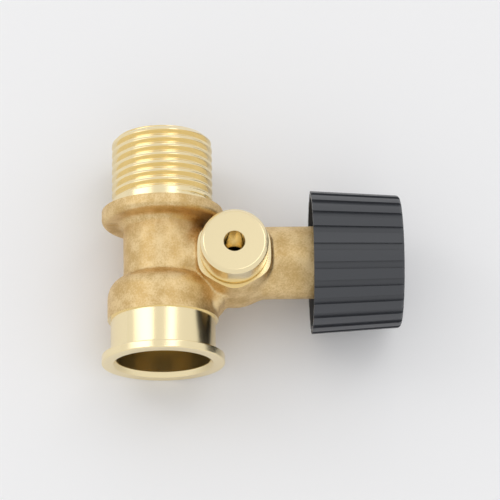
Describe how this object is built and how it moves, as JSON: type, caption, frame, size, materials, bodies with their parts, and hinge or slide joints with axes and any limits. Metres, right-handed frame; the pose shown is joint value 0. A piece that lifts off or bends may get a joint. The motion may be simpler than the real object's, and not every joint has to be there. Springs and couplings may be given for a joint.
{
  "type": "boiler filling tap",
  "caption": "Forged brass boiler filling tap: threaded inlet, clip-on socket, side filling outlet and a screw-down valve under a hollow fluted knob.",
  "frame": {"origin": "centre of the socket's mouth, in the plane of the lip's end face", "axes": "+X along the branch to the knob, +Y up the main tube to the threaded inlet, +Z along the filling outlet"},
  "size_m": [0.0616, 0.0487, 0.0298],
  "materials": {
    "forged_brass": "forged, blasted, fine grain",
    "turned_brass": "turned, bright",
    "seal_rubber": "matt",
    "knob_plastic": "moulded, satin",
    "screw_steel": "zinc plated"
  },
  "bodies": {
    "tap_body": {"valve_body": "forged_brass", "bonnet": "turned_brass", "bonnet_ring": "seal_rubber"},
    "washer_carrier": {"valve_disc": "turned_brass", "seat_washer": "seal_rubber", "washer_screw": "turned_brass"},
    "spindle_and_knob": {"spindle": "turned_brass", "stem_ring_inner": "seal_rubber", "stem_ring_outer": "seal_rubber", "knob": "knob_plastic", "knob_screw": "screw_steel"}
  },
  "joints": [
    {"name": "washer_travel", "type": "slide", "parent": "tap_body", "child": "washer_carrier", "axis": [1, 0, 0], "range_m": [0, 0.00375]},
    {"name": "knob_turn", "type": "hinge", "parent": "washer_carrier", "child": "spindle_and_knob", "pos_m": [0.04, 0.02145, 0], "axis": [1, 0, 0], "range_deg": [0, 900]}
  ],
  "couplings": [
    {"joint": "washer_travel", "follows": "knob_turn", "m_per_rad": 0.00023873}
  ]
}
